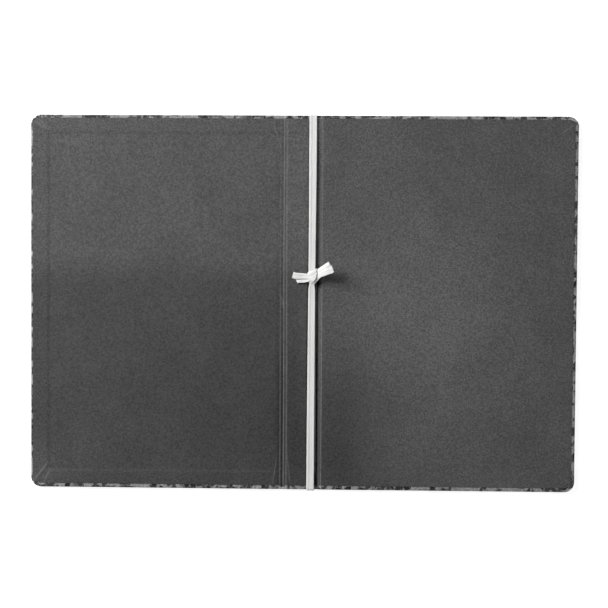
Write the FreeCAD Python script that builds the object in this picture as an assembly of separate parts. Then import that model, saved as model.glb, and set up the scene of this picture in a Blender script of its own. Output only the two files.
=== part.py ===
import FreeCAD, Part
import os

# A casebound sketchbook case for A5 paper, laid open and flat with its inside up: two cover boards
# and a spine board between one covering sheet (outside) and one lining sheet (inside), and a flat
# elastic band that is tied round the spine to hold the paper.
#
# Millimetres. +X runs across the open case, +Y from its foot to its head, +Z up out of the inside.
# The origin is on the table, under the middle of the spine.

# Driving dimensions of the case
CASE_WIDTH = 315.0
CASE_HEIGHT = 216.0
SPINE_WIDTH = 16.0
JOINT_WIDTH = 4.5          # the gap between the spine board and a cover board
CORNER_RADIUS = 5.8
BOARD_THICK = 2.0
COVERING_THICK = 0.35
LINING_THICK = 0.25
TURN_IN = 10.0             # how far the covering is turned over onto the boards
LINING_INSET = 2.0         # how far the lining stops short of the edge
EDGE_FOLD = 0.3            # radius of the covering's fold round the edge of a board
GROOVE_SLOPE = 1.0         # width of each sloping side of the groove pressed into a joint
GROOVE_FLOOR = 1.5         # height of the underside of the covering on the groove's floor

# Driving dimensions of the elastic
ELASTIC_WIDTH = 4.2
ELASTIC_THICK = 0.8
ELASTIC_HEAD_X = 5.5       # the band leans a little: its middle at the head and at the foot
ELASTIC_FOOT_X = 5.15
ELASTIC_GRIP = 4.0         # how far a wrap reaches over the head or foot edge
ELASTIC_BEND = 0.75        # outer radius of a wrap's two bends
KNOT_X = 5.3
KNOT_Y = 15.4
KNOT_SIZE = (5.4, 8.4, 3.6)
KNOT_ROUNDING = 1.2
KNOT_GRIP = 0.5            # how far each strand is sunk into the knot

# The two tails: the stretch of the knot's side that each leaves from, the (x, y) corners of its cut
# end, the height of its underside at the knot and at both corners, and its thickness
LEFT_TAIL_ROOT = (12.0, 17.4)
LEFT_TAIL_TIP = ((-4.4, 11.8), (-5.8, 18.1))
LEFT_TAIL_BOTTOM = (4.5, 3.8, 3.8)
LEFT_TAIL_THICK = 1.5      # folded double along its length
RIGHT_TAIL_ROOT = (14.2, 18.6)
RIGHT_TAIL_TIP = ((17.8, 18.1), (15.0, 24.1))
RIGHT_TAIL_BOTTOM = (5.0, 11.5, 12.1)
RIGHT_TAIL_THICK = ELASTIC_THICK

# Heights of the layers, from the table up
COVERING_BOTTOM = ELASTIC_THICK
BOARD_BOTTOM = COVERING_BOTTOM + COVERING_THICK
BOARD_TOP = BOARD_BOTTOM + BOARD_THICK
TURN_IN_TOP = BOARD_TOP + COVERING_THICK
LINING_TOP = BOARD_TOP + LINING_THICK
LINING_RIM_TOP = TURN_IN_TOP + LINING_THICK
GROOVE_COVERING_TOP = GROOVE_FLOOR + COVERING_THICK
GROOVE_TURN_IN_TOP = GROOVE_COVERING_TOP + COVERING_THICK

HALF_HEIGHT = CASE_HEIGHT / 2
HALF_SPINE = SPINE_WIDTH / 2
COVER_INNER_X = HALF_SPINE + JOINT_WIDTH
SIDES = {"left": -1, "right": 1}
TOLERANCE = 1e-6           # for telling where an edge lies


def block(x_range, y_range, z_range):
    """A box between two values on each axis, given in either order."""
    low = [min(pair) for pair in (x_range, y_range, z_range)]
    high = [max(pair) for pair in (x_range, y_range, z_range)]
    size = [b - a for a, b in zip(low, high)]
    return Part.makeBox(*size, FreeCAD.Vector(*low))


def cover_plate(side, inset, bottom, top, fold=0.0):
    """A plate with a cover's outline, drawn in by inset along its three free edges."""
    outer_x = side * (CASE_WIDTH / 2 - inset)
    half = HALF_HEIGHT - inset
    plate = block((side * COVER_INNER_X, outer_x), (-half, half), (bottom, top))
    if inset < CORNER_RADIUS:
        corners = [edge for edge in plate.Edges if is_upright(edge) and is_at_x(edge, outer_x)]
        plate = plate.makeFillet(CORNER_RADIUS - inset, corners)
    if fold:
        inner_x = side * COVER_INNER_X
        rims = [edge for edge in plate.Edges if is_level(edge) and not is_at_x(edge, inner_x)]
        plate = plate.makeFillet(fold, rims)
    return plate


def is_upright(edge):
    """Whether a straight edge runs along Z."""
    return edge.BoundBox.ZLength > max(edge.BoundBox.XLength, edge.BoundBox.YLength)


def is_level(edge):
    """Whether an edge lies in one level plane."""
    return edge.BoundBox.ZLength < TOLERANCE


def is_at_x(edge, x):
    """Whether all of an edge lies in the plane at x."""
    return edge.BoundBox.XLength < TOLERANCE and abs(edge.BoundBox.XMin - x) < TOLERANCE


def spine_plate(inset, bottom, top):
    """A plate as wide as the spine board, drawn in by inset at the head and at the foot."""
    half = HALF_HEIGHT - inset
    return block((-HALF_SPINE, HALF_SPINE), (-half, half), (bottom, top))


def cover_board(side):
    """One cover board, which the covering wraps on three edges."""
    return cover_plate(side, COVERING_THICK, BOARD_BOTTOM, BOARD_TOP)


def cover_covering(side):
    """The covering on one cover: the outside face, the folds round the edges and the turn-ins."""
    wrapped = cover_plate(side, 0, COVERING_BOTTOM, TURN_IN_TOP, EDGE_FOLD)
    window = cover_plate(side, TURN_IN, BOARD_TOP, TURN_IN_TOP)
    return wrapped.cut(cover_board(side)).cut(window)


def cover_lining(side):
    """The lining on one cover: it lies on the board and steps up onto the turn-ins."""
    sheet = cover_plate(side, LINING_INSET, BOARD_TOP, LINING_RIM_TOP)
    sunk = cover_plate(side, TURN_IN + LINING_THICK, LINING_TOP, LINING_RIM_TOP)
    return sheet.cut(cover_covering(side)).cut(sunk)


def spine_board():
    """The stiff strip between the two joints."""
    return spine_plate(COVERING_THICK, BOARD_BOTTOM, BOARD_TOP)


def spine_covering():
    """The covering on the spine, turned in at the head and at the foot."""
    wrapped = spine_plate(0, COVERING_BOTTOM, TURN_IN_TOP)
    window = spine_plate(TURN_IN, BOARD_TOP, TURN_IN_TOP)
    return wrapped.cut(spine_board()).cut(window)


def spine_lining():
    """The lining on the spine, stepping up onto the turn-ins at the head and at the foot."""
    sheet = spine_plate(LINING_INSET, BOARD_TOP, LINING_RIM_TOP)
    sunk = spine_plate(TURN_IN + LINING_THICK, LINING_TOP, LINING_RIM_TOP)
    return sheet.cut(spine_covering()).cut(sunk)


def groove_prism(side, under, over, y_start, y_end):
    """Sheet across one joint, sloping down to the groove's flat floor and up again.

    under and over are the sheet's two faces, each as (height beside the boards, height on the floor).
    """
    stations = (
        HALF_SPINE,
        HALF_SPINE + GROOVE_SLOPE,
        COVER_INNER_X - GROOVE_SLOPE,
        COVER_INNER_X,
    )
    lower = [(x, z) for x, z in zip(stations, (under[0], under[1], under[1], under[0]))]
    upper = [(x, z) for x, z in zip(stations, (over[0], over[1], over[1], over[0]))]
    corners = [FreeCAD.Vector(side * x, y_start, z) for x, z in lower + upper[::-1]]
    outline = Part.makePolygon(corners + corners[:1])
    return Part.Face(outline).extrude(FreeCAD.Vector(0, y_end - y_start, 0))


def hinge_covering(side):
    """The covering across one joint: outside face, folds over the head and foot, and turn-ins."""
    under = (COVERING_BOTTOM, GROOVE_FLOOR)
    over = (TURN_IN_TOP, GROOVE_TURN_IN_TOP)
    strip = groove_prism(side, under, (BOARD_BOTTOM, GROOVE_COVERING_TOP), -HALF_HEIGHT, HALF_HEIGHT)
    for end in (-1, 1):
        edge = end * HALF_HEIGHT
        fold = groove_prism(side, under, over, edge - end * COVERING_THICK, edge)
        turned = (BOARD_TOP, GROOVE_COVERING_TOP)
        turn_in = groove_prism(side, turned, over, edge - end * TURN_IN, edge)
        strip = strip.fuse(fold).fuse(turn_in)
    return strip.removeSplitter()


def hinge_lining(side):
    """The lining across one joint, glued down in the groove and stepping up onto the turn-ins."""
    low = (BOARD_TOP, GROOVE_COVERING_TOP)
    low_top = (LINING_TOP, GROOVE_COVERING_TOP + LINING_THICK)
    high = (TURN_IN_TOP, GROOVE_TURN_IN_TOP)
    high_top = (LINING_RIM_TOP, GROOVE_TURN_IN_TOP + LINING_THICK)
    step = HALF_HEIGHT - TURN_IN
    strip = groove_prism(side, low, low_top, -step, step)
    for end in (-1, 1):
        riser = groove_prism(side, low, high_top, end * (step - LINING_THICK), end * step)
        raised = groove_prism(side, high, high_top, end * step, end * (HALF_HEIGHT - LINING_INSET))
        strip = strip.fuse(riser).fuse(raised)
    return strip.removeSplitter()


def elastic_x(y):
    """Where the middle of the leaning band is at a height y up the spine."""
    share = (y + HALF_HEIGHT) / CASE_HEIGHT
    return ELASTIC_FOOT_X + share * (ELASTIC_HEAD_X - ELASTIC_FOOT_X)


def band(y_start, bottom_start, y_end, bottom_end):
    """A straight run of the band between two heights up the spine."""
    ends = []
    for y, bottom in ((y_start, bottom_start), (y_end, bottom_end)):
        left = elastic_x(y) - ELASTIC_WIDTH / 2
        right = left + ELASTIC_WIDTH
        top = bottom + ELASTIC_THICK
        ends.append(quad(((left, y, bottom), (right, y, bottom), (right, y, top), (left, y, top))))
    return Part.makeLoft(ends, True, True)


def quad(corners):
    """A closed wire through corner points."""
    points = [FreeCAD.Vector(*corner) for corner in corners]
    return Part.makePolygon(points + points[:1])


def elastic_run(end):
    """The inner run from the head (end 1) or the foot (end -1) edge, rising a little to the knot."""
    knot_y = KNOT_Y + end * (KNOT_SIZE[1] / 2 - KNOT_GRIP)
    knot_bottom = LINING_TOP + (KNOT_SIZE[2] - ELASTIC_THICK) / 2
    return band(end * (HALF_HEIGHT - ELASTIC_GRIP), LINING_RIM_TOP, knot_y, knot_bottom)


def elastic_outer_run():
    """The run along the outside of the spine, which the case lies on."""
    return band(-HALF_HEIGHT + ELASTIC_GRIP, 0, HALF_HEIGHT - ELASTIC_GRIP, 0)


def elastic_wrap(end):
    """The bend of the band over the head (end 1) or the foot (end -1) edge."""
    edge = end * HALF_HEIGHT
    grip = edge - end * ELASTIC_GRIP
    outside = edge + end * ELASTIC_THICK
    middle = elastic_x(edge)
    across = (middle - ELASTIC_WIDTH / 2, middle + ELASTIC_WIDTH / 2)
    wrap = block(across, (grip, outside), (0, LINING_RIM_TOP + ELASTIC_THICK))
    bends = [corner for corner in wrap.Edges if is_bend(corner, outside)]
    wrap = wrap.makeFillet(ELASTIC_BEND, bends)
    return wrap.cut(block(across, (grip, edge), (COVERING_BOTTOM, LINING_RIM_TOP)))


def is_bend(edge, y):
    """Whether an edge runs along X in the plane at y."""
    box = edge.BoundBox
    return box.XLength > box.ZLength and box.YLength < TOLERANCE and abs(box.YMin - y) < TOLERANCE


def elastic_knot(strands):
    """The knot as a rounded lump that rests on the lining, with a pocket for each strand."""
    width, height, thick = KNOT_SIZE
    low = (KNOT_X - width / 2, KNOT_Y - height / 2, LINING_TOP)
    lump = Part.makeBox(width, height, thick, FreeCAD.Vector(*low))
    lump = lump.makeFillet(KNOT_ROUNDING, lump.Edges)
    for strand in strands:
        lump = lump.cut(strand)
    return lump


def elastic_tail(side, root, tip, bottom, thick):
    """A tail from the left (side -1) or right (side 1) of the knot to its cut end."""
    root_x = KNOT_X + side * (KNOT_SIZE[0] / 2 - KNOT_GRIP)
    low_root = [(root_x, y, bottom[0]) for y in root]
    low_tip = [(x, y, z) for (x, y), z in zip(tip, bottom[1:])]
    ends = []
    for low in (low_root, low_tip):
        high = [(x, y, z + thick) for x, y, z in low]
        ends.append(quad(low + high[::-1]))
    return Part.makeLoft(ends, True, True)


def all_parts():
    """Every node by name."""
    parts = {
        "spine_board": spine_board(),
        "spine_covering": spine_covering(),
        "spine_lining": spine_lining(),
    }
    for name, side in SIDES.items():
        parts[f"{name}_board"] = cover_board(side)
        parts[f"{name}_covering"] = cover_covering(side)
        parts[f"{name}_lining"] = cover_lining(side)
        parts[f"{name}_hinge_covering"] = hinge_covering(side)
        parts[f"{name}_hinge_lining"] = hinge_lining(side)
    strands = {
        "elastic_upper_run": elastic_run(1),
        "elastic_lower_run": elastic_run(-1),
        "elastic_left_tail": elastic_tail(
            -1, LEFT_TAIL_ROOT, LEFT_TAIL_TIP, LEFT_TAIL_BOTTOM, LEFT_TAIL_THICK
        ),
        "elastic_right_tail": elastic_tail(
            1, RIGHT_TAIL_ROOT, RIGHT_TAIL_TIP, RIGHT_TAIL_BOTTOM, RIGHT_TAIL_THICK
        ),
    }
    parts["elastic_knot"] = elastic_knot(strands.values())
    parts["elastic_head_wrap"] = elastic_wrap(1)
    parts["elastic_foot_wrap"] = elastic_wrap(-1)
    parts["elastic_outer_run"] = elastic_outer_run()
    return parts | strands


os.makedirs("parts", exist_ok=True)
for node, shape in all_parts().items():
    shape.exportStep(f"parts/{node}.step")
    print(f"{node}: {len(shape.Solids)} solid, {shape.Volume:.1f} mm3, valid {shape.isValid()}")
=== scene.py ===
import math

import bpy
import numpy as np
from mathutils import Euler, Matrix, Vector


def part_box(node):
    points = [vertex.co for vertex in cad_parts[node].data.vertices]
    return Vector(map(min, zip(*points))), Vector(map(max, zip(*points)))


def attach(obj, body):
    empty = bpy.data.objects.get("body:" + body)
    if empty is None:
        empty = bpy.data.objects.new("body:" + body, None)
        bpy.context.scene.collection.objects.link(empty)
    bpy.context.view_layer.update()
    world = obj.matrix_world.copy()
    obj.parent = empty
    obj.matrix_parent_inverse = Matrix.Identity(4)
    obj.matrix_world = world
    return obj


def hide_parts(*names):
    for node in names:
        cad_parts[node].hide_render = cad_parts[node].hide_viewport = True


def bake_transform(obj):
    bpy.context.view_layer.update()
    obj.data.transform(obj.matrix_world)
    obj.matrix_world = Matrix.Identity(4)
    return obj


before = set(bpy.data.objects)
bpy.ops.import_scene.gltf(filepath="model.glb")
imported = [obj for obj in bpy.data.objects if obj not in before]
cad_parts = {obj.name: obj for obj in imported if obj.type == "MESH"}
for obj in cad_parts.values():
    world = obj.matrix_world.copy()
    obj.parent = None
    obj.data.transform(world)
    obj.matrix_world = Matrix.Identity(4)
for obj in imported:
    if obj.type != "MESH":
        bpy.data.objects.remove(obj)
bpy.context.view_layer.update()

# Lengths in this script are millimetres in the row frame. make_object() turns them into metres.
MM = 0.001


def box_mm(node):
    """A CAD node's lowest and highest corner in millimetres."""
    low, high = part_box(node)
    return low / MM, high / MM


# The case, as the CAD frame has it
COVER_LOW, COVER_HIGH = box_mm("right_covering")
BOARD_LOW, BOARD_HIGH = box_mm("right_board")
LINING_HIGH = box_mm("right_lining")[1]
SPINE_HIGH = box_mm("spine_board")[1]
KNOT_LOW, KNOT_HIGH = box_mm("elastic_knot")
WRAP_LOW, WRAP_HIGH = box_mm("elastic_head_wrap")
FOOT_LOW, FOOT_HIGH = box_mm("elastic_foot_wrap")
RUN_HIGH = box_mm("elastic_outer_run")[1]

HALF_WIDTH = COVER_HIGH.x
HALF_HEIGHT = COVER_HIGH.y
OUTSIDE = COVER_LOW.z                    # the outer face, underneath
BOARD_TOP = BOARD_HIGH.z
COVERING_THICK = BOARD_LOW.z - OUTSIDE
TURN_IN_TOP = BOARD_TOP + COVERING_THICK
LINING_THICK = LINING_HIGH.z - TURN_IN_TOP
LINING_TOP = BOARD_TOP + LINING_THICK
COVER_EDGE = BOARD_LOW.x                 # where a joint ends and its cover board begins
SPINE_EDGE = SPINE_HIGH.x                # where the spine board ends and a joint begins
ELASTIC_THICK = RUN_HIGH.z
ELASTIC_WIDTH = WRAP_HIGH.x - WRAP_LOW.x
ELASTIC_HEAD_X = (WRAP_HIGH.x + WRAP_LOW.x) / 2
ELASTIC_FOOT_X = (FOOT_HIGH.x + FOOT_LOW.x) / 2
KNOT_Y = (KNOT_LOW.y + KNOT_HIGH.y) / 2

# Dimensions of the sheets that the CAD model has no use for
SEAM_X = 5.3               # both halves of a sheet meet here, out of sight under the elastic
CORNER_RADIUS = 5.8
EDGE_ROUND = 0.7           # radius of the covering round the edges of the boards
TURN_IN = 10.0
LINING_INSETS = {"left": 1.2, "right": 2.0, "head": 1.9, "foot": 2.5}
PAPER_WAVE = 0.14          # how far from flat the glued lining is

SIDES = {"left": -1, "right": 1}


# Shapes in numbers

def smooth(value, start, end):
    """0 before start, 1 after end, and a smooth step between them."""
    t = np.clip((value - start) / (end - start), 0, 1)
    return t * t * (3 - 2 * t)


def bump(value, centre, width):
    """A rounded bump 1 high."""
    return np.exp(-(((value - centre) / width) ** 2))


def spaced(*stretches):
    """Values along a line, from stretches of (start, end, largest gap)."""
    values = []
    for start, end, gap in stretches:
        count = max(1, math.ceil(abs(end - start) / gap))
        values += list(np.linspace(start, end, count, endpoint=False))
    return np.array(values + [stretches[-1][1]])


def crease(x, y, start, end, width):
    """A ridge 1 high along a line from start to end, fading out past its ends."""
    start, end = np.array(start, float), np.array(end, float)
    along = end - start
    length = np.linalg.norm(along)
    along /= length
    share = ((x - start[0]) * along[0] + (y - start[1]) * along[1]) / length
    aside = (x - start[0]) * -along[1] + (y - start[1]) * along[0]
    fade = smooth(share, -0.15, 0.25) * (1 - smooth(share, 0.7, 1.15))
    return bump(aside, 0, width) * fade


def waves(x, y, seed, sizes):
    """Gentle seeded waves between 0 and 1, for paper that isn't quite flat."""
    rng = np.random.default_rng(seed)
    total = np.zeros(np.broadcast(x, y).shape)
    for size in sizes:
        for _ in range(5):
            turn, phase = rng.uniform(0, 2 * math.pi, 2)
            reach = 2 * math.pi / (size * rng.uniform(0.7, 1.4))
            total = total + np.sin(reach * (x * math.cos(turn) + y * math.sin(turn)) + phase)
    return np.clip(0.5 + total / (4.0 * math.sqrt(5 * len(sizes))), 0, 1)


def round_corners(x, y, outer_x, low_y, high_y, radius):
    """Moves points of a rectangle's grid so that its two corners at outer_x are rounded."""
    side = np.sign(outer_x)
    for end, edge_y in ((-1, low_y), (1, high_y)):
        u = (side * x - (side * outer_x - radius)) / radius
        v = (end * y - (end * edge_y - radius)) / radius
        inside = (u > 0) & (v > 0)
        reach = np.maximum(np.maximum(u, v), 1e-9)
        angle = np.where(u >= v, math.pi / 4 * v / reach, math.pi / 4 * (2 - u / reach))
        new_x = side * (side * outer_x - radius + radius * reach * np.cos(angle))
        new_y = end * (end * edge_y - radius + radius * reach * np.sin(angle))
        x, y = np.where(inside, new_x, x), np.where(inside, new_y, y)
    return x, y


# Mesh building

def make_object(name, points, faces, rest=None):
    """A mesh object from points in millimetres. rest is what its material's pattern follows."""
    mesh = bpy.data.meshes.new(name)
    mesh.from_pydata((np.asarray(points) * MM).tolist(), [], [list(map(int, f)) for f in faces])
    pattern = mesh.attributes.new("rest", "FLOAT_VECTOR", "POINT")
    pattern.data.foreach_set("vector", np.asarray(points if rest is None else rest, np.float32).ravel())
    mesh.polygons.foreach_set("use_smooth", [True] * len(mesh.polygons))
    mesh.update()
    made = bpy.data.objects.new(name, mesh)
    bpy.context.scene.collection.objects.link(made)
    return made


def grid_faces(rows, columns, first=0, flip=False):
    """Quads of a grid whose points are numbered row by row."""
    corner = (np.arange(rows - 1)[:, None] * columns + np.arange(columns - 1)[None, :]).ravel() + first
    quads = np.stack([corner, corner + columns, corner + columns + 1, corner + 1], 1)
    return quads[:, ::-1] if flip else quads


def rim_of(rows, columns):
    """The point numbers round the border of a grid."""
    numbers = np.arange(rows * columns).reshape(rows, columns)
    return np.concatenate([numbers[:-1, 0], numbers[-1, :-1], numbers[:0:-1, -1], numbers[0, :0:-1]])


def closed_sheet(name, x, y, z, thick):
    """A sheet with a face at z over a grid of (x, y), closed below and round its border."""
    rows, columns = x.shape
    face = np.stack([x, y, z], -1).reshape(-1, 3)
    back = face - np.array([0, 0, thick])
    count = len(face)
    rim = rim_of(rows, columns)
    after = np.roll(rim, -1)
    walls = np.stack([rim, after, after + count, rim + count], 1)
    faces = np.concatenate([
        grid_faces(rows, columns),
        grid_faces(rows, columns, count, flip=True),
        walls[:, ::-1],
    ])
    points = np.concatenate([face, back])
    return make_object(name, points, outwards(points, faces))


def outwards(points, faces):
    """The faces of a closed shape, turned so that they all point out."""
    volume = 0.0
    for face in faces:
        corners = points[np.asarray(face)]
        volume += np.cross(corners[1:-1], corners[2:]).sum(0) @ corners[0]
    return faces if volume > 0 else [list(face)[::-1] for face in faces]


def sharpen(made, degrees):
    """Keeps edges sharper than an angle crisp under smooth shading."""
    made.data.set_sharp_from_angle(angle=math.radians(degrees))
    return made


# Heights of the case's faces

LEFT_FOLDS = (              # where the lining steps down (-) and up (+) across the left joint:
    (-14.6, 3.0, -0.3),         # place, width, height
    (-12.9, 0.5, 0.1),
    (-11.9, 1.2, -0.26),
    (-10.8, 0.7, 0.3),
    (-10.1, 0.5, -0.04),
    (-9.1, 1.1, 0.2),
)


def elastic_dent(x, y):
    """How deep the stretched elastic presses into the paper of the spine."""
    across = smooth(x, 2.3, 3.5) * (1 - smooth(x, 7.2, 8.4))
    inside = smooth(HALF_HEIGHT - np.abs(y), 2, 12)
    return (0.12 + 0.2 * smooth(-y, -45, 10)) * across * inside


def left_lines(x, y):
    """Where a point is across the left joint's folds, which lean a little towards the foot."""
    return x - 0.38 * smooth(-y, -40, 60) * (x < 0)


def groove_depth(x, y):
    """How deep the paper is pressed into the joints. The grooves are deeper towards the foot."""
    depth = 0.0 * x
    for place, width, height in LEFT_FOLDS:
        depth = depth - height * smooth(left_lines(x, y), place - width / 2, place + width / 2)
    depth = depth * (0.5 + 0.45 * smooth(-y, -70, 80))
    across = np.clip((x + 0.2 * smooth(-y, 30, HALF_HEIGHT) - 8.7) / 2.8, 0, 1)
    single = smooth(x, 7.4, 8.2) * np.cos(math.pi / 2 * across)
    return depth + (0.42 + 0.4 * smooth(-y, -45, 20)) * single


CREASES = (                 # small ridges in the lining, by the joints and then at the corners:
    ((-17.9, 105.5), (-13.6, 92.5), 0.6, 0.1),  # start, end, width, height
    ((-13.6, 93.5), (-12.3, 88.0), 0.5, 0.06),
    ((-14.2, -89.5), (-16.6, -105.0), 0.5, 0.09),
    ((-8.6, -86.0), (-6.3, -105.0), 0.5, 0.08),
    ((-12.4, 4.0), (-9.9, -4.5), 0.75, 0.12),
    ((-156.0, 104.5), (-147.5, 99.5), 0.7, 0.2),
    ((-153.5, 106.0), (-147.5, 100.5), 0.6, 0.12),
    ((-155.5, -104.5), (-147.5, -93.5), 0.7, 0.24),
    ((-150.0, -105.5), (-146.0, -97.5), 0.6, 0.14),
    ((155.0, 103.5), (147.5, 98.0), 0.6, 0.1),
    ((155.5, -103.0), (148.5, -98.5), 0.6, 0.12),
)
PAINTED_HIGHLIGHT_LINES = (            # painted highlights, pale lines on the lit slopes along the joints:
    (-12.9, 0.25, 0.0, 0.3),        # place, width, strength near the head, strength near the foot
    (-10.9, 0.26, 0.45, 0.55),
    (-9.3, 0.42, 0.35, 0.45),
    (10.0, 0.5, 0.05, 0.2),
    (11.2, 0.3, 0.25, 0.6),
)
PAINTED_SHADE_LINES = (             # painted shade, black lines in the joints' shaded folds and in the elastic's shadow:
    (-13.9, 0.35, 0.35, (15, 60)),  # place, width, strength, where it begins towards the foot
    (-11.9, 0.35, 0.4, (15, 60)),
    (8.3, 0.8, 1.4, (-50, 30)),
)


def painted_highlight_and_shade(x, y):
    """Painted highlight on the lining (up to 1) and painted shade (down to -1): pale and black lines along
    the joints and creases, and black shadows by the elastic and the knot.
    """
    foot = smooth(-y, -50, 30)
    across = left_lines(x, y)
    # Painted shade: a dark line by the elastic's left edge, and the knot's shadow painted black beside it.
    total = -0.8 * bump(x, 2.9, 0.4) * bump(y, -25, 50)
    total = total - 1.0 * bump(x, 9.4, 1.5) * bump(y, 12.0, 3.0)
    for place, width, head_end, foot_end in PAINTED_HIGHLIGHT_LINES:
        total = total + (head_end + (foot_end - head_end) * foot) * bump(across, place, width)
    for place, width, strength, (start, end) in PAINTED_SHADE_LINES:
        total = total - strength * smooth(-y, start, end) * bump(across, place, width)
    total = total * (0.7 + 0.6 * waves(x, y, 5, (9.0, 30.0)))
    # Painted highlight: pale lines along the creases' ridges.
    for start, end, width, height in CREASES:
        total = total + (0.25 + 2.2 * height) * crease(x, y, start, end, 0.6 * width)
    return np.clip(total, -1, 1)


def patch(x, y, place, reach, turn):
    """A soft oval patch 1 high, turned by an angle in degrees."""
    angle = math.radians(turn)
    along = (x - place[0]) * math.cos(angle) + (y - place[1]) * math.sin(angle)
    aside = (y - place[1]) * math.cos(angle) - (x - place[0]) * math.sin(angle)
    return bump(along, 0, reach[0]) * bump(aside, 0, reach[1])


def shade(x, y):
    """How pale the lining is, against its middle tone: painted sheen and painted shade, in soft patches.
    """
    left = 0.785 + 0.32 * smooth(y, 8, 30)
    left = left + 0.2 * patch(x, y, (-155, -105), (35, 30), 0)
    left = left - 0.1 * patch(x, y, (-45, -70), (45, 45), 0)
    right = 1.12 + 0.35 * patch(x, y, (70, 0), (60, 44), -60)
    spine = 0.2 * patch(x, y, (-3, 60), (60, 9), 90) - 0.5 * patch(x, y, (19, -85), (55, 26), 90)
    share = smooth(x, -6, 12)
    return left * (1 - share) + right * share + spine


def turn_in_step(x, y):
    """1 over the turned-in covering, 0 over the bare board. It's sharper on the left cover."""
    inside = np.minimum(HALF_WIDTH - np.abs(x), HALF_HEIGHT - np.abs(y))
    softness = 0.5 + 0.5 * smooth(x, -20, 20)
    return 1 - smooth((inside - TURN_IN) / softness, -1.6, 3.0)


def lining_height(x, y):
    """Height of the lining's face."""
    step = turn_in_step(x, y) - 1
    pressed = 0.8 - 0.5 * smooth(x, -20, 20)
    z = LINING_HIGH.z + pressed * (LINING_HIGH.z - LINING_TOP) * step
    z = z + PAPER_WAVE * waves(x, y, 3, (46.0, 90.0)) * smooth(HALF_WIDTH - np.abs(x), 2, 16)
    z = z - groove_depth(x, y) - elastic_dent(x, y)
    for start, end, width, height in CREASES:
        z = z + height * crease(x, y, start, end, width)
    return z


def rim_height(x, y):
    """Height of the turned-in covering's face along the edges."""
    return TURN_IN_TOP - groove_depth(x, y)


def outside_height(x):
    """Height of the covering's outer face, which a smooth groove dents at each joint."""
    joint = (COVER_EDGE + SPINE_EDGE) / 2
    reach = (COVER_EDGE - SPINE_EDGE) / 2
    return OUTSIDE + 0.6 * (1 - smooth(np.abs(np.abs(x) - joint), 0, reach))


# The lining

def across_case(side, outer_x, gap):
    """Stations across one half of the case, from its outer edge to the seam, closer at the joint."""
    groove_in, groove_out = SPINE_EDGE - 0.6, COVER_EDGE + 1.6
    step_in = HALF_WIDTH - TURN_IN - 3.2
    start = side * SEAM_X
    creased = 19.0 if side < 0 else groove_out
    near = spaced(
        (abs(outer_x), step_in + 4.8, 0.8),
        (step_in + 4.8, step_in, 0.5),
        (step_in, creased, gap),
        (creased, groove_out, 0.3),
        (groove_out, groove_in, 0.2),
    )
    rest = spaced((side * groove_in, SEAM_X, 0.35))
    return np.concatenate([side * near, rest[1:]])


def along_case(low, high, gap):
    """Stations from foot to head, closer at the steps over the turn-ins."""
    step = HALF_HEIGHT - TURN_IN - 3.2
    return spaced(
        (low, -step - 4.8, 0.8),
        (-step - 4.8, -step, 0.5),
        (-step, step, gap),
        (step, step + 4.8, 0.5),
        (step + 4.8, high, 0.8),
    )


def make_lining(name, side):
    """One half of the lining, from the cover's outer edge over the joint to the seam."""
    outer_x = side * (HALF_WIDTH - LINING_INSETS[name])
    low_y = -HALF_HEIGHT + LINING_INSETS["foot"]
    high_y = HALF_HEIGHT - LINING_INSETS["head"]
    x, y = np.meshgrid(across_case(side, outer_x, 1.5), along_case(low_y, high_y, 1.5), indexing="ij")
    x, y = round_corners(x, y, outer_x, low_y, high_y, CORNER_RADIUS - 2.0)
    made = closed_sheet(f"inside_lining_{name}", x, y, lining_height(x, y), LINING_THICK)
    # The lining's points carry its painted highlights, painted shade and painted sheen.
    for pattern, values in (("painted_highlight_and_shade", painted_highlight_and_shade(x, y)), ("shade", shade(x, y))):
        layer = made.data.attributes.new(pattern, "FLOAT", "POINT")
        layer.data.foreach_set("value", np.tile(values.astype(np.float32).ravel(), 2))
    return sharpen(made, 50)


# The covering

def edge_profile(height):
    """The covering's way round a board's edge, as (how far out, how high) from the outer face."""
    turns = np.linspace(0, math.pi / 2, 6)
    lower = [(EDGE_ROUND * math.sin(t), EDGE_ROUND * (1 - math.cos(t))) for t in turns]
    upper = [(EDGE_ROUND * math.cos(t), height - EDGE_ROUND * (1 - math.sin(t))) for t in turns]
    turned_in = [(-0.5, height), (-1.0, height), (-1.6, height), (-2.4, height), (-5.0, height)]
    return lower[1:] + upper + turned_in


def make_covering(name, side):
    """One half of the covering: outer face, the wrap round the board's edges and the turn-in."""
    outer_x = side * (HALF_WIDTH - EDGE_ROUND)
    half = HALF_HEIGHT - EDGE_ROUND
    radius = CORNER_RADIUS - EDGE_ROUND
    xs = across_case(side, outer_x, 3.0)
    corner = spaced((abs(outer_x), abs(outer_x) - radius, 0.5))
    xs = np.concatenate([side * corner, xs[np.abs(xs) < corner[-1] - 0.5]])
    inner = half - radius
    ys = spaced((-half, -inner, 0.5), (-inner, inner, 2.0), (inner, half, 0.5))
    x, y = np.meshgrid(xs, ys, indexing="ij")
    x, y = round_corners(x, y, outer_x, -half, half, radius)
    rows, columns = x.shape
    face = np.stack([x, y, outside_height(x)], -1).reshape(-1, 3)
    numbers = np.arange(rows * columns).reshape(rows, columns)
    border = np.concatenate([numbers[::-1, 0], numbers[0, 1:-1], numbers[:, -1]])
    rings = turned_over(face[border], outer_x, half, radius)
    count = len(border)
    points = np.concatenate([face] + rings)
    faces = [list(q) for q in grid_faces(rows, columns)]
    previous = border
    for k in range(len(rings)):
        current = rows * columns + k * count + np.arange(count)
        faces += [[previous[i], previous[i + 1], current[i + 1], current[i]] for i in range(count - 1)]
        previous = current
    if side < 0:
        faces = [q[::-1] for q in faces]
    made = make_object(f"outside_covering_{name}", points, faces)
    return thickened(made, COVERING_THICK)


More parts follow.
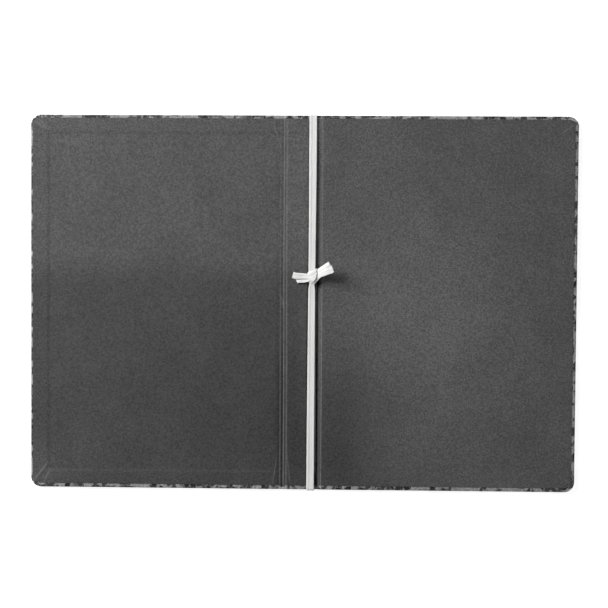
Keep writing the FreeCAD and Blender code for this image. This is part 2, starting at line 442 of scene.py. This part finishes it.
def turned_over(edge, outer_x, half, radius):
    """Rings of points that carry the covering from its outer face's border round and onto the board."""
    out = outward(edge, outer_x, half, radius)
    heights = rim_height(edge[:, 0], edge[:, 1]) - edge[:, 2]
    profiles = np.array([edge_profile(h) for h in heights])
    rings = []
    for k in range(profiles.shape[1]):
        reach, lift = profiles[:, k, 0], profiles[:, k, 1]
        ring = np.column_stack([edge[:, :2] + out * reach[:, None], edge[:, 2] + lift])
        if k > 4:
            ring[:, 2] += 0.1 * (waves(ring[:, 0], ring[:, 1], 11, (3.5, 9.0)) - 0.5)
            ring[:, 2] += corner_pleats(out, k)
        rings.append(ring)
    return rings


def corner_pleats(out, ring):
    """Gathers of the covering where it is turned over round a corner."""
    turn = np.arctan2(np.abs(out[:, 1]), np.abs(out[:, 0]))
    fade = np.clip(np.sin(2 * turn), 0, 1) * min(1.0, (ring - 4) / 6)
    return 0.09 * fade * np.cos(18 * turn)


def outward(points, outer_x, half, radius):
    """Which way each point of a cover's border faces, away from the cover."""
    side = np.sign(outer_x)
    aside = side * points[:, 0] - (abs(outer_x) - radius)
    up = np.abs(points[:, 1]) - (half - radius)
    ends = np.sign(points[:, 1])
    in_corner = (aside > 1e-6) & (up > 1e-6)
    out = np.zeros((len(points), 2))
    out[:, 0] = np.where(in_corner, side * aside, np.where(up > 1e-6, 0, side))
    out[:, 1] = np.where(in_corner, ends * up, np.where(up > 1e-6, ends, 0))
    return out / np.linalg.norm(out, axis=1)[:, None]


def thickened(made, thick):
    """The same object, given real thickness on the inner side of its faces."""
    modifier = made.modifiers.new("thickness", "SOLIDIFY")
    modifier.thickness = thick * MM
    modifier.offset = -1
    shaped = made.evaluated_get(bpy.context.evaluated_depsgraph_get())
    mesh = bpy.data.meshes.new_from_object(shaped)
    made.modifiers.clear()
    made.data = mesh
    return made


# The elastic

RIBS = 7
RIB_WIDTH = 1.4             # between the darker lines along the band
RIB_DEPTH = 0.07            # of the loop and the left tail, as a share of their thickness
LOOP_HOLLOW = 0.22          # how hollow the loop's middle is, as a share of its thickness
FOLDED_HOLLOW = 0.45        # the same for the left tail, which is folded lengthwise
FOLDED_THICK = 0.9          # thickness of the left tail
CUT_THICK = 0.8             # thickness of its lower flap and of the right tail
SLACK_WIDTH = 1.04          # the loop's width away from the knot, as a share of the CAD model's
STRETCH = 0.09              # how much of that it loses near the knot
PINCH = 0.24                # how much more it loses just below the knot


def band_outline(hollow, ribs=0.05):
    """The band's section: (across, through) from -0.5 to 0.5, with ribs and a hollow middle."""
    across = np.cos(np.linspace(0, math.pi, 45))
    rounding = (1 - np.abs(across) ** 5) ** 0.5
    through = 0.5 - hollow * bump(across, 0, 0.62) + ribs * (np.cos(RIBS * math.pi * across) - 1)
    through = through * rounding
    top = np.stack([across / 2, through], 1)
    bottom = np.stack([across[-2:0:-1] / 2, -0.5 * rounding[-2:0:-1]], 1)
    return np.concatenate([top, bottom])


def through_points(points, count):
    """A smooth curve through control points (Catmull-Rom)."""
    p = np.array(points, float)
    p = np.concatenate([[2 * p[0] - p[1]], p, [2 * p[-1] - p[-2]]])
    out = []
    for t in np.linspace(0, len(p) - 3, count):
        i = min(int(t), len(p) - 4)
        f = t - i
        a, b, c, d = p[i:i + 4]
        square, cube = 2 * a - 5 * b + 4 * c - d, 3 * b - a - 3 * c + d
        out.append(0.5 * (2 * b + (c - a) * f + square * f * f + cube * f ** 3))
    return np.array(out)


def unit(vectors):
    """Vectors scaled to length 1."""
    return vectors / np.maximum(np.linalg.norm(vectors, axis=-1, keepdims=True), 1e-9)


def strand(surface, outline, thick):
    """A closed band as (points, faces, rest). surface is its middle, on a grid (along, round)."""
    half = len(outline) // 2 + 1
    along = unit(np.gradient(surface.mean(1), axis=0))
    across = unit(surface[:, 0] - surface[:, half - 1])
    normal = unit(np.cross(across, along))
    rows, ring = surface.shape[:2]
    points = surface + normal[:, None] * (outline[:, 1] * thick)[None, :, None]
    faces = [list(q) for q in grid_faces(rows, ring)]
    last = ring - 1
    for i in range(rows - 1):
        faces.append([i * ring + last, (i + 1) * ring + last, (i + 1) * ring, i * ring])
    faces.append(list(range(ring)))
    faces.append([(rows - 1) * ring + i for i in range(ring)][::-1])
    rest = np.zeros_like(points)
    rest[..., 0] = outline[None, :, 0] * ELASTIC_WIDTH
    rest[..., 1] = np.cumsum(np.r_[0, np.linalg.norm(np.diff(surface.mean(1), axis=0), axis=1)])[:, None]
    rest[..., 2] = (outline[:, 1] * thick)[None, :]
    points = points.reshape(-1, 3)
    return points, outwards(points, faces), rest.reshape(-1, 3)


def make_strands(name, *strands):
    """One object out of several strands."""
    points, faces, rest, first = [], [], [], 0
    for its_points, its_faces, its_rest in strands:
        points.append(its_points)
        rest.append(its_rest)
        faces += [[first + i for i in face] for face in its_faces]
        first += len(its_points)
    return sharpen(make_object(name, np.concatenate(points), faces, np.concatenate(rest)), 60)


def between_rails(one, other, outline, count, bulge=0.0):
    """A band's middle surface between two edge curves, bulging upwards."""
    a, b = through_points(one, count), through_points(other, count)
    share = outline[:, 0] + 0.5
    surface = a[:, None] * (1 - share)[None, :, None] + b[:, None] * share[None, :, None]
    surface[..., 2] += bulge * (1 - (2 * share - 1) ** 2)[None, :]
    return surface


def elastic_x(y):
    """The middle of the leaning band at a height y up the spine."""
    share = (y + HALF_HEIGHT) / (2 * HALF_HEIGHT)
    return ELASTIC_FOOT_X + share * (ELASTIC_HEAD_X - ELASTIC_FOOT_X) + 0.2 * bump(y, 70, 55)


def wrap_points(end):
    """The band's middle line round the head (1) or foot (-1) edge, from inside to outside."""
    inner = LINING_HIGH.z + ELASTIC_THICK / 2
    outer = ELASTIC_THICK / 2
    out_y = HALF_HEIGHT + ELASTIC_THICK / 2
    bend = 0.9
    points = []
    for turn in np.linspace(0, math.pi / 2, 6):
        points.append((out_y - bend + bend * math.sin(turn), inner - bend + bend * math.cos(turn)))
    for turn in np.linspace(0, math.pi / 2, 6):
        points.append((out_y - bend + bend * math.cos(turn), outer + bend - bend * math.sin(turn)))
    return [(elastic_x(end * y), end * y, z) for y, z in points]


def band_width(points):
    """The band is a little narrower where the knot stretches it, and pinched just below the knot."""
    y, inside = points[:, 1], points[:, 2] > LINING_TOP
    pinch = np.where((y < KNOT_Y) & inside, smooth(y, KNOT_Y - 8.5, KNOT_Y - 3.8), 0)
    return ELASTIC_WIDTH * (SLACK_WIDTH - STRETCH * bump(y, KNOT_Y, 55) * inside - PINCH * pinch)


def along_band(path):
    """The loop's surface round a path of middle points."""
    path = np.array(path)
    outline = band_outline(LOOP_HOLLOW, ribs=RIB_DEPTH)
    surface = np.repeat(path[:, None], len(outline), 1)
    surface[..., 0] += outline[None, :, 0] * band_width(path)[:, None]
    return strand(surface, outline, ELASTIC_THICK)


def make_elastic_loop():
    """The band from the knot over the head edge, under the spine, over the foot edge and back."""
    inner_z = LINING_HIGH.z + ELASTIC_THICK / 2
    path = []
    for y in np.linspace(KNOT_Y + 1.2, HALF_HEIGHT - 2.0, 70):
        rise = 0.6 * smooth(HALF_HEIGHT - y, 3, 25) + 0.6 * (1 - smooth(y, KNOT_Y + 1.0, KNOT_Y + 15.0))
        path.append((elastic_x(y), y, inner_z + rise - elastic_dent(elastic_x(y), y)))
    path += wrap_points(1)
    outer_run = np.linspace(HALF_HEIGHT - 2, 2 - HALF_HEIGHT, 70)
    path += [(elastic_x(y), y, ELASTIC_THICK / 2) for y in outer_run]
    path += wrap_points(-1)[::-1]
    for y in np.linspace(2.0 - HALF_HEIGHT, KNOT_Y - 2.6, 90):
        rise = 0.9 * smooth(y, KNOT_Y - 14.0, KNOT_Y - 2.0)
        path.append((elastic_x(y), y, inner_z + rise - elastic_dent(elastic_x(y), y)))
    return make_strands("elastic_loop", along_band(path))


def make_left_tail():
    """The left tail, folded lengthwise, and the front wrap of the knot that it turns into."""
    upper = [
        (-5.1, 18.1, 4.9), (-3.4, 17.7, 5.1), (0.0, 17.4, 5.3), (2.6, 17.2, 5.7), (3.9, 17.7, 6.2),
        (5.2, 18.7, 6.8), (6.6, 19.4, 7.2), (7.6, 19.9, 7.4), (8.1, 20.2, 7.3), (8.2, 20.3, 6.6),
    ]
    lower = [
        (-4.2, 13.9, 4.9), (-2.6, 13.9, 5.0), (0.6, 14.0, 5.2), (3.2, 14.0, 5.8), (4.8, 13.2, 6.2),
        (6.2, 12.5, 6.5), (7.2, 13.2, 6.8), (7.9, 14.6, 7.1), (8.15, 16.6, 7.3), (8.2, 17.3, 6.6),
    ]
    outline = band_outline(FOLDED_HOLLOW, ribs=RIB_DEPTH)
    surface = between_rails(upper, lower, outline, 90, bulge=0.3)
    share = (outline[:, 0] + 0.5)[None, :]
    tip = np.where(share < 0.78, share / 0.78, (1 - share) / 0.22)
    surface[..., 0] -= 1.7 * tip * (1 - smooth(np.arange(90), 0, 16))[:, None]
    front = strand(surface, outline, FOLDED_THICK)
    flap_upper = [
        (-4.4, 14.6, 3.5), (-1.8, 14.8, 3.6), (1.0, 14.9, 3.8), (3.0, 15.2, 4.3), (4.8, 15.6, 4.8),
    ]
    flap_lower = [
        (-2.8, 11.5, 4.8), (-1.8, 11.9, 4.8), (0.6, 11.9, 5.0), (2.6, 12.3, 5.4), (4.6, 13.0, 5.7),
    ]
    outline = band_outline(0.0)
    surface = between_rails(flap_upper, flap_lower, outline, 50, bulge=0.1)
    return make_strands("elastic_tail_left", front, strand(surface, outline, CUT_THICK))


def make_right_tail():
    """The right tail, which turns out of the lower run, stands up and ends in a slanting cut."""
    left = [
        (5.0, 12.5, 4.9), (6.2, 15.0, 5.4), (7.2, 17.4, 5.9), (8.2, 19.4, 6.5), (9.6, 20.5, 7.8),
        (11.4, 21.7, 9.4), (13.3, 23.1, 11.2), (15.0, 24.2, 12.6),
    ]
    right = [
        (7.1, 11.2, 4.9), (7.8, 12.0, 5.5), (8.6, 12.9, 6.1), (9.6, 14.1, 6.9), (10.6, 15.1, 7.8),
        (12.0, 15.6, 8.9), (14.8, 16.7, 10.9), (17.4, 17.7, 12.2),
    ]
    outline = band_outline(0.1)
    surface = between_rails(left, right, outline, 70, bulge=0.25)
    share = (outline[:, 0] + 0.5)[None, :]
    notch = 0.3 * smooth(share, 0.0, 0.2) + 0.7 * smooth(share, 0.29, 0.34)
    cut = notch - 1.0 * smooth(share, 0.86, 1.0)
    surface[..., 0] += cut * smooth(np.arange(70), 56, 69)[:, None]
    return make_strands("elastic_tail_right", strand(surface, outline, CUT_THICK))


def make_knot_core():
    """The turns of the knot under the front wrap."""
    upper = [
        (3.2, 17.6, 4.0), (3.4, 18.2, 4.8), (5.0, 18.7, 5.3),
        (6.8, 18.6, 5.2), (7.7, 18.0, 4.6), (7.7, 17.4, 4.0),
    ]
    lower = [
        (3.6, 12.2, 4.0), (3.8, 11.9, 4.6), (5.0, 11.5, 5.1),
        (6.6, 11.6, 5.1), (7.6, 12.5, 4.6), (7.7, 13.2, 4.0),
    ]
    outline = band_outline(0.0)
    surface = between_rails(upper, lower, outline, 40, bulge=0.45)
    return make_strands("elastic_knot_turns", strand(surface, outline, 1.0))


# Materials

def new_material(name):
    """An empty node material and its tree."""
    material = bpy.data.materials.new(name)
    material.use_nodes = True
    material.node_tree.nodes.clear()
    return material, material.node_tree


def add(tree, kind, settings=None, **inputs):
    """A node, with settings, and with inputs set to values or linked to other nodes' outputs."""
    made = tree.nodes.new(kind)
    for key, value in (settings or {}).items():
        setattr(made, key, value)
    for key, value in inputs.items():
        fill(tree, made.inputs[key.replace("_", " ")], value)
    return made


def fill(tree, socket, value):
    """Links a socket to an output, or sets its value."""
    if isinstance(value, bpy.types.NodeSocket):
        tree.links.new(value, socket)
    else:
        socket.default_value = value


def maths(tree, operation, first, second=0.0, clamp=False):
    """One sum of two values."""
    made = add(tree, "ShaderNodeMath", {"operation": operation, "use_clamp": clamp})
    fill(tree, made.inputs[0], first)
    fill(tree, made.inputs[1], second)
    return made.outputs[0]


def mixed(tree, share, first, second, blend="MIX"):
    """Two colours mixed by a share."""
    made = add(tree, "ShaderNodeMix", {"data_type": "RGBA", "blend_type": blend})
    fill(tree, made.inputs[0], share)
    fill(tree, made.inputs[6], first)
    fill(tree, made.inputs[7], second)
    return made.outputs[2]


def ranged(tree, value, low, high, to_low=0.0, to_high=1.0):
    """A value's range mapped to another one, smoothly and clamped."""
    made = add(tree, "ShaderNodeMapRange", {"interpolation_type": "SMOOTHSTEP"}, Value=value)
    for key, number in (("From Min", low), ("From Max", high), ("To Min", to_low), ("To Max", to_high)):
        made.inputs[key].default_value = number
    return made.outputs[0]


def grey(value, warm=0.0):
    """A grey, a little warm or cool."""
    return (value * (1 + warm), value, value * (1 - warm), 1)


def rest_place(tree):
    """Where a point was before the object moved, in millimetres."""
    return add(tree, "ShaderNodeAttribute", {"attribute_name": "rest"}).outputs["Vector"]


def noise(tree, place, size, detail=3.0, roughness=0.55, distortion=0.0):
    """Noise whose features are about size millimetres across."""
    made = add(
        tree, "ShaderNodeTexNoise", None,
        Vector=place, Scale=1 / size, Detail=detail, Roughness=roughness, Distortion=distortion,
    )
    return made.outputs[0]


def stretched(tree, place, scale):
    """A place scaled differently along each axis."""
    made = add(tree, "ShaderNodeVectorMath", {"operation": "MULTIPLY"})
    fill(tree, made.inputs[0], place)
    made.inputs[1].default_value = scale
    return made.outputs[0]


def bumped(tree, height, distance, strength=1.0):
    """A normal that shows a height, whose range is a distance in millimetres."""
    made = add(tree, "ShaderNodeBump", None, Height=height, Strength=strength, Distance=distance * MM)
    return made.outputs[0]


def finished(material, tree, **inputs):
    """Ends a material in one Principled shader."""
    shader = add(tree, "ShaderNodeBsdfPrincipled", None, **inputs)
    output = add(tree, "ShaderNodeOutputMaterial")
    tree.links.new(shader.outputs[0], output.inputs["Surface"])
    return material


def lining_paper():
    """Dark grey uncoated paper with a fine pressed grain and soft clouds, with painted sheen, painted
    highlights and painted shade.
    """
    material, tree = new_material("lining_paper")
    place = rest_place(tree)
    grain = noise(tree, place, 1.0, 3.0, 0.6, 0.3)
    fleck = noise(tree, place, 0.4, 2.0, 0.5)
    cloud = noise(tree, place, 30.0, 3.0, 0.55)
    tone = ranged(tree, grain, 0.26, 0.74, 0.64, 1.36)
    tone = maths(tree, "MULTIPLY", tone, ranged(tree, fleck, 0.3, 0.7, 0.8, 1.2))
    tone = maths(tree, "MULTIPLY", tone, ranged(tree, cloud, 0.3, 0.7, 0.93, 1.07))
    # Painted sheen and painted shade: the shade attribute makes the lining lighter and darker in soft
    # patches.
    shade = add(tree, "ShaderNodeAttribute", {"attribute_name": "shade"}).outputs["Fac"]
    tone = maths(tree, "MULTIPLY", tone, shade)
    colour = mixed(tree, 1.0, grey(0.085), combined(tree, tone), "MULTIPLY")
    # Painted highlight where the attribute is above 0, mixed towards pale grey; painted shade where it is
    # below 0, mixed towards black.
    wear_and_painted_light = add(tree, "ShaderNodeAttribute", {"attribute_name": "painted_highlight_and_shade"}).outputs["Fac"]
    highlight_breakup = ranged(tree, noise(tree, place, 1.3, 3.0), 0.35, 0.6, 0.5, 1.0)
    colour = mixed(tree, maths(tree, "MULTIPLY", wear_and_painted_light, highlight_breakup, True), colour, grey(0.22))
    painted_shade = maths(tree, "MULTIPLY", wear_and_painted_light, -1.0, True)
    colour = mixed(tree, painted_shade, colour, grey(0.006))
    height = maths(tree, "ADD", maths(tree, "MULTIPLY", grain, 0.75), maths(tree, "MULTIPLY", fleck, 0.25))
    return finished(
        material, tree,
        Base_Color=colour,
        Roughness=ranged(tree, cloud, 0.3, 0.7, 0.58, 0.66),
        Normal=bumped(tree, height, 0.045),
        Specular_IOR_Level=maths(tree, "MULTIPLY", maths(tree, "SUBTRACT", 1.0, painted_shade), 0.2),
    )


def combined(tree, value):
    """A grey colour from one value."""
    made = add(tree, "ShaderNodeCombineColor")
    for socket in made.inputs[:3]:
        fill(tree, socket, value)
    return made.outputs[0]


def drifted(tree, place, size, amount):
    """A place pushed about by noise, so that patterns on it flow."""
    push = add(tree, "ShaderNodeTexNoise", None, Vector=place, Scale=1 / size, Detail=2.0).outputs[1]
    centred = add(tree, "ShaderNodeVectorMath", {"operation": "SUBTRACT"})
    fill(tree, centred.inputs[0], push)
    centred.inputs[1].default_value = (0.5, 0.5, 0.5)
    scaled = add(tree, "ShaderNodeVectorMath", {"operation": "SCALE"})
    fill(tree, scaled.inputs[0], centred.outputs[0])
    scaled.inputs["Scale"].default_value = amount
    total = add(tree, "ShaderNodeVectorMath", {"operation": "ADD"})
    fill(tree, total.inputs[0], place)
    fill(tree, total.inputs[1], scaled.outputs[0])
    return total.outputs[0]


def cells(tree, place, size, feature):
    """Voronoi cells about size millimetres across."""
    made = add(tree, "ShaderNodeTexVoronoi", {"feature": feature})
    fill(tree, made.inputs["Vector"], place)
    made.inputs["Scale"].default_value = 1 / size
    return made


def worn_corners(tree, place):
    """1 where the covering is pale with wear at the four corners, with a ragged edge."""
    apart = add(tree, "ShaderNodeSeparateXYZ", None, Vector=place)
    x = maths(tree, "ABSOLUTE", apart.outputs[0])
    y = maths(tree, "ABSOLUTE", apart.outputs[1])
    past_side = maths(tree, "SUBTRACT", x, HALF_WIDTH)
    past_end = maths(tree, "SUBTRACT", y, HALF_HEIGHT)
    reach = maths(tree, "ADD", past_side, past_end)
    ragged = maths(tree, "MULTIPLY", noise(tree, place, 1.6, 3.0), 9.0)
    return ranged(tree, maths(tree, "ADD", reach, ragged), 0.0, 1.2)


def marbled_paper():
    """Marbled paper: pale grey with flowing black and dark grey stones, pale with wear at the corners."""
    material, tree = new_material("marbled_covering")
    place = rest_place(tree)
    flowing = drifted(tree, drifted(tree, place, 9.0, 5.0), 2.2, 2.2)
    stone = cells(tree, flowing, 2.9, "F1")
    shade = add(tree, "ShaderNodeSeparateColor", None, Color=stone.outputs["Color"]).outputs[0]
    edge = cells(tree, flowing, 2.9, "DISTANCE_TO_EDGE").outputs["Distance"]
    speckle = noise(tree, flowing, 0.9, 4.0, 0.65)
    patch = noise(tree, place, 16.0, 2.0)
    pale = mixed(tree, ranged(tree, speckle, 0.4, 0.62), grey(0.2), grey(0.42))
    level = maths(tree, "ADD", shade, maths(tree, "MULTIPLY", maths(tree, "SUBTRACT", patch, 0.5), 1.1))
    across = add(tree, "ShaderNodeSeparateXYZ", None, Vector=place).outputs[0]
    level = maths(tree, "ADD", level, ranged(tree, across, 10.0, 70.0, 0.0, 0.15))
    dark = mixed(tree, ranged(tree, level, 0.2, 0.45), grey(0.007), grey(0.045))
    ragged = maths(tree, "MULTIPLY", maths(tree, "SUBTRACT", speckle, 0.5), 0.5)
    rough_edge = maths(tree, "ADD", edge, ragged)
    stones = maths(tree, "MULTIPLY", ranged(tree, rough_edge, 0.0, 0.06), ranged(tree, level, 0.72, 0.6))
    colour = mixed(tree, stones, pale, dark)
    wear_and_painted_light = worn_corners(tree, place)
    colour = mixed(tree, maths(tree, "MULTIPLY", wear_and_painted_light, 0.85), colour, grey(0.6, 0.02))
    tooth = noise(tree, place, 0.4, 3.0)
    return finished(
        material, tree,
        Base_Color=colour,
        Roughness=ranged(tree, speckle, 0.3, 0.7, 0.4, 0.52),
        Normal=bumped(tree, tooth, 0.03),
    )


def braided_elastic():
    """White braided elastic: crossing yarns over lengthwise ribs, with painted shade in their valleys."""
    material, tree = new_material("braided_elastic")
    place = rest_place(tree)
    one = add(tree, "ShaderNodeTexWave", {"bands_direction": "DIAGONAL"}, Scale=0.55, Distortion=0.6)
    fill(tree, one.inputs["Vector"], stretched(tree, place, (1.0, 1.5, 0.0)))
    other = add(tree, "ShaderNodeTexWave", {"bands_direction": "DIAGONAL"}, Scale=0.55, Distortion=0.6)
    fill(tree, other.inputs["Vector"], stretched(tree, place, (-1.0, 1.5, 0.0)))
    yarns = maths(tree, "MAXIMUM", one.outputs["Fac"], other.outputs["Fac"])
    fuzz = noise(tree, place, 0.25, 3.0)
    soil = noise(tree, place, 6.0, 2.0)
    height = maths(tree, "ADD", maths(tree, "MULTIPLY", yarns, 0.7), maths(tree, "MULTIPLY", fuzz, 0.3))
    # Painted shade: the yarns are greyer where they lie low in the braid.
    colour = mixed(tree, ranged(tree, height, 0.2, 0.9), grey(0.79, 0.008), grey(0.94, 0.004))
    colour = mixed(tree, ranged(tree, soil, 0.35, 0.7, 0.0, 0.15), colour, grey(0.72, 0.012))
    # Painted shade: grey lines along the band between its ribs.
    across = add(tree, "ShaderNodeSeparateXYZ", None, Vector=place).outputs[0]
    rib = maths(tree, "COSINE", maths(tree, "MULTIPLY", across, 2 * math.pi / RIB_WIDTH))
    colour = mixed(tree, ranged(tree, rib, -1.0, 0.2, 0.35, 0.0), colour, grey(0.6, 0.01))
    return finished(
        material, tree,
        Base_Color=colour,
        Roughness=0.75,
        Normal=bumped(tree, height, 0.06),
        Specular_IOR_Level=0.3,
    )


def greyboard():
    """Pressed grey board with darker and lighter fibres."""
    material, tree = new_material("greyboard")
    place = add(tree, "ShaderNodeTexCoord").outputs["Object"]
    fibre = noise(tree, stretched(tree, place, (900.0, 220.0, 900.0)), 1.0, 4.0)
    spot = noise(tree, place, 0.006, 3.0)
    colour = mixed(tree, ranged(tree, fibre, 0.35, 0.65), grey(0.30, 0.05), grey(0.46, 0.05))
    colour = mixed(tree, ranged(tree, spot, 0.6, 0.75, 0.0, 0.4), colour, grey(0.2, 0.05))
    return finished(
        material, tree, Base_Color=colour, Roughness=0.85, Normal=bumped(tree, fibre, 0.05)
    )


def floor_material():
    """A plain pale floor that glows, so that shadows on it are very faint."""
    material, tree = new_material("floor")
    speck = noise(tree, add(tree, "ShaderNodeTexCoord").outputs["Object"], 0.05, 2.0)
    colour = mixed(tree, ranged(tree, speck, 0.3, 0.7), grey(0.78), grey(0.8))
    return finished(
        material, tree,
        Base_Color=colour,
        Roughness=0.9,
        Specular_IOR_Level=0.1,
        Emission_Color=colour,
        Emission_Strength=FLOOR_GLOW,
    )


def paint(made, material):
    """Gives a piece its material."""
    made.data.materials.clear()
    made.data.materials.append(material)


# Putting the object together

def build_sheets():
    """The lining and the covering, each in two halves that meet at a seam under the elastic."""
    lining, covering = lining_paper(), marbled_paper()
    for name, side in SIDES.items():
        shared = ["spine"] if name == "left" else []
        for made, material, kind in (
            (make_lining(name, side), lining, "lining"),
            (make_covering(name, side), covering, "covering"),
        ):
            paint(made, material)
            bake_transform(made)
            nodes = [f"{name}_{kind}", f"{name}_hinge_{kind}"] + [f"{part}_{kind}" for part in shared]
            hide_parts(*nodes)


def build_elastic():
    """The elastic: its loop, the knot and the two tails."""
    material = braided_elastic()
    loop, core = make_elastic_loop(), make_knot_core()
    left, right = make_left_tail(), make_right_tail()
    for made in (loop, core, left, right):
        paint(made, material)
    for made in (loop, core, left):
        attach(made, "spine")
    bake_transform(right)
    runs = ("upper_run", "lower_run", "outer_run", "head_wrap", "foot_wrap")
    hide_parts(*[f"elastic_{run}" for run in runs])
    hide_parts("elastic_knot")
    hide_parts("elastic_left_tail")
    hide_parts("elastic_right_tail")


def build_boards():
    """The three boards stay as the CAD model has them."""
    material = greyboard()
    for name in ("left_board", "right_board", "spine_board"):
        paint(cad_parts[name], material)


# The stage

KEY_PLACE = (-0.888, 0.622, 0.718)       # the stage is in metres and watts
KEY_SIZE = 0.6
KEY_POWER = 19.3
PANEL_PLACE = (-0.1, 0.1, 1.3)
PANEL_SIZE = 0.8
PANEL_POWER = 2.2
FLOOR_SIZE = 4.0
FLOOR_GLOW = 1.0
WALL_GLOW = 0.9
CEILING_GLOW = 0.04
CAMERA_LENS = 85.0
CAMERA_PLACE = (0.02354, 0.03014, 0.83063)
CAMERA_TURN = (-2.101, 1.58, 0.384)      # in degrees


def area_light(name, place, aim, size, power):
    """A soft square lamp aimed at a point."""
    data = bpy.data.lights.new(name, "AREA")
    data.size = size
    data.energy = power
    made = bpy.data.objects.new(name, data)
    made.location = place
    made.rotation_euler = (Vector(aim) - Vector(place)).to_track_quat("-Z", "Y").to_euler()
    bpy.context.scene.collection.objects.link(made)
    return made


def surroundings():
    """Pale walls all round and below, under a dim ceiling."""
    world = bpy.data.worlds.new("world")
    world.use_nodes = True
    tree = world.node_tree
    direction = add(tree, "ShaderNodeTexCoord").outputs["Generated"]
    up = add(tree, "ShaderNodeSeparateXYZ", None, Vector=direction).outputs[2]
    background = tree.nodes["Background"]
    background.inputs["Color"].default_value = (1, 1, 1, 1)
    glow = ranged(tree, up, 0.05, 0.5, WALL_GLOW, CEILING_GLOW)
    fill(tree, background.inputs["Strength"], glow)
    bpy.context.scene.world = world


def build_stage():
    """Floor, lamps and the pale surroundings."""
    bpy.ops.mesh.primitive_plane_add(size=FLOOR_SIZE, location=(0, 0, 0))
    floor = bpy.context.object
    floor.name = "floor"
    floor.data.materials.append(floor_material())
    area_light("key", KEY_PLACE, (0, 0, 0), KEY_SIZE, KEY_POWER)
    area_light("panel", PANEL_PLACE, (0, 0, 0), PANEL_SIZE, PANEL_POWER)
    surroundings()
    bpy.context.scene.view_settings.view_transform = "Standard"


def build_camera():
    """The camera almost straight above the open case."""
    data = bpy.data.cameras.new("camera")
    data.lens = CAMERA_LENS
    made = bpy.data.objects.new("camera", data)
    made.location = CAMERA_PLACE
    made.rotation_euler = Euler([math.radians(a) for a in CAMERA_TURN], "XYZ")
    bpy.context.scene.collection.objects.link(made)
    bpy.context.scene.camera = made


build_boards()
build_sheets()
build_elastic()
build_stage()
build_camera()
